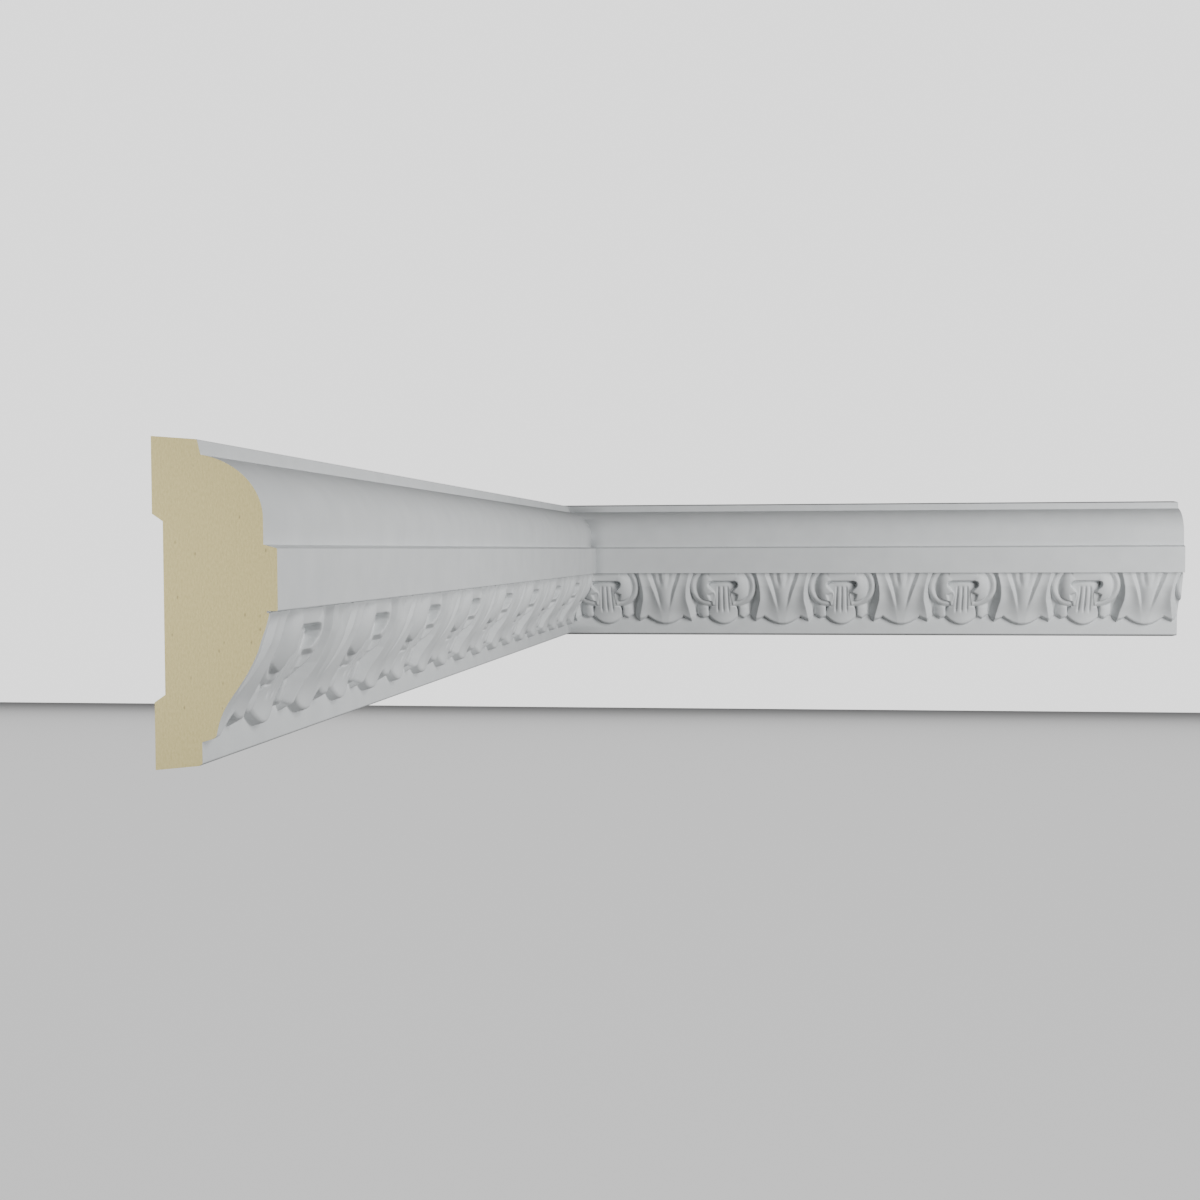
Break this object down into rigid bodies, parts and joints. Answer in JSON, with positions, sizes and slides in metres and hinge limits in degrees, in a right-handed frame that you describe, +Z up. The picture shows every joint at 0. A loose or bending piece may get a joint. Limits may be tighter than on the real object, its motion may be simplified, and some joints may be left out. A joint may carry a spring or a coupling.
{
  "type": "panel moulding",
  "caption": "Carved panel moulding for a wall: ovolo, flat fascia and a leaf-and-scroll band, fitted as two mitred lengths round an inner corner.",
  "frame": {"origin": "on the left run's back, at the middle of its length and of its upper flat land, where it lies against the wall", "axes": "+Z up; +X out of the left wall into the room and along the right run; +Y along the left run to the inner corner"},
  "size_m": [0.528, 0.882, 0.1138],
  "materials": {
    "paint": "matt white primer paint on cast polyurethane foam",
    "foam": "bare sawn polyurethane foam, sand coloured, fine grain with tiny pits"
  },
  "bodies": {
    "root": {"left_run": "paint", "right_run": "paint"}
  },
  "joints": []
}
